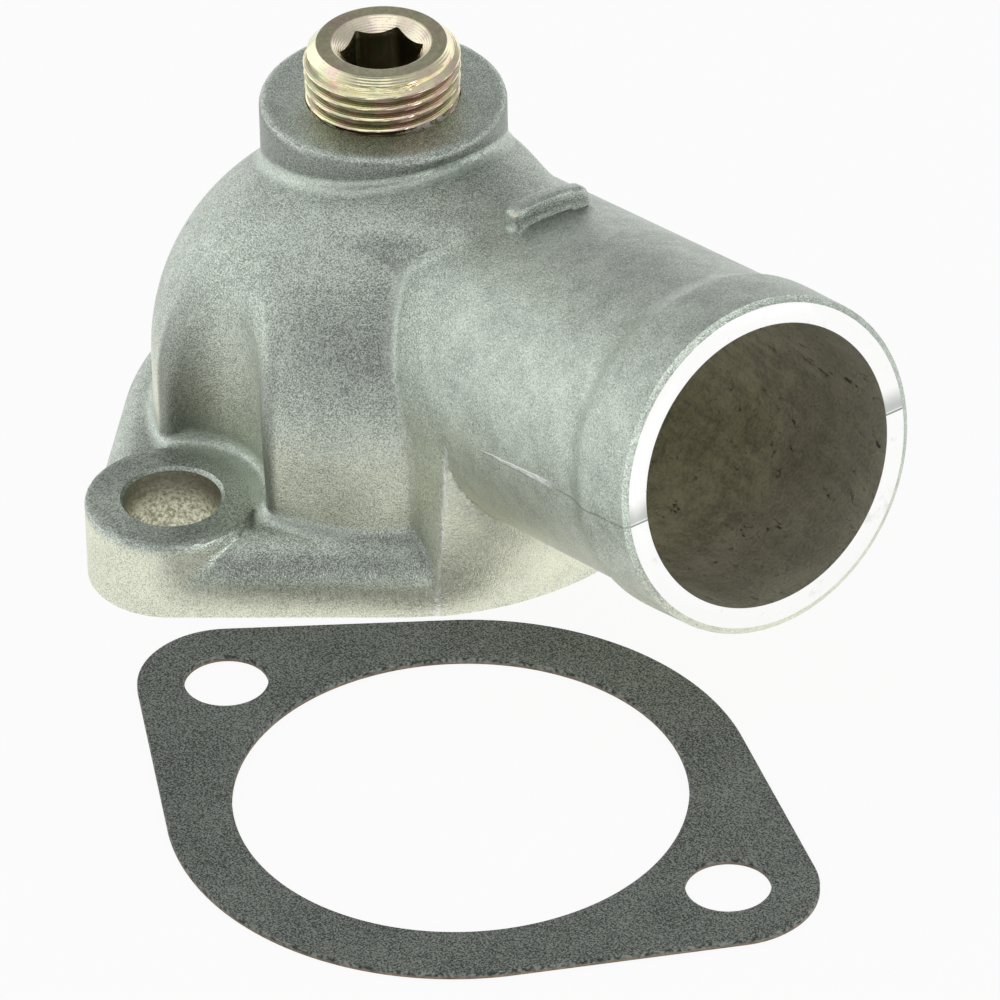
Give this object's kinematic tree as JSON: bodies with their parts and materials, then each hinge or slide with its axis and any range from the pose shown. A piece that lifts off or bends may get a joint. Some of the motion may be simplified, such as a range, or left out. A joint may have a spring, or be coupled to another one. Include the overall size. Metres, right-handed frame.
{
  "type": "thermostat housing",
  "caption": "Cast coolant outlet with a bolted two-lobe flange, domed chamber, tilted hose spigot, plugged sensor boss and a loose paper flange gasket.",
  "frame": {"origin": "midway between the two flange bolts, on the flange's mating face", "axes": "+Z away from the engine, X along the bolt line, the spigot leaves towards -Y"},
  "size_m": [0.1055, 0.1258, 0.0511],
  "materials": {
    "cast_aluminium": "as cast, finely blasted, with the spigot's end face machined",
    "yellow_zinc": "yellow passivated zinc plate",
    "gasket_paper": "matt speckled fibre sheet"
  },
  "bodies": {
    "root": {"housing_casting": "cast_aluminium", "pipe_plug": "yellow_zinc", "flange_gasket": "gasket_paper"}
  },
  "joints": []
}
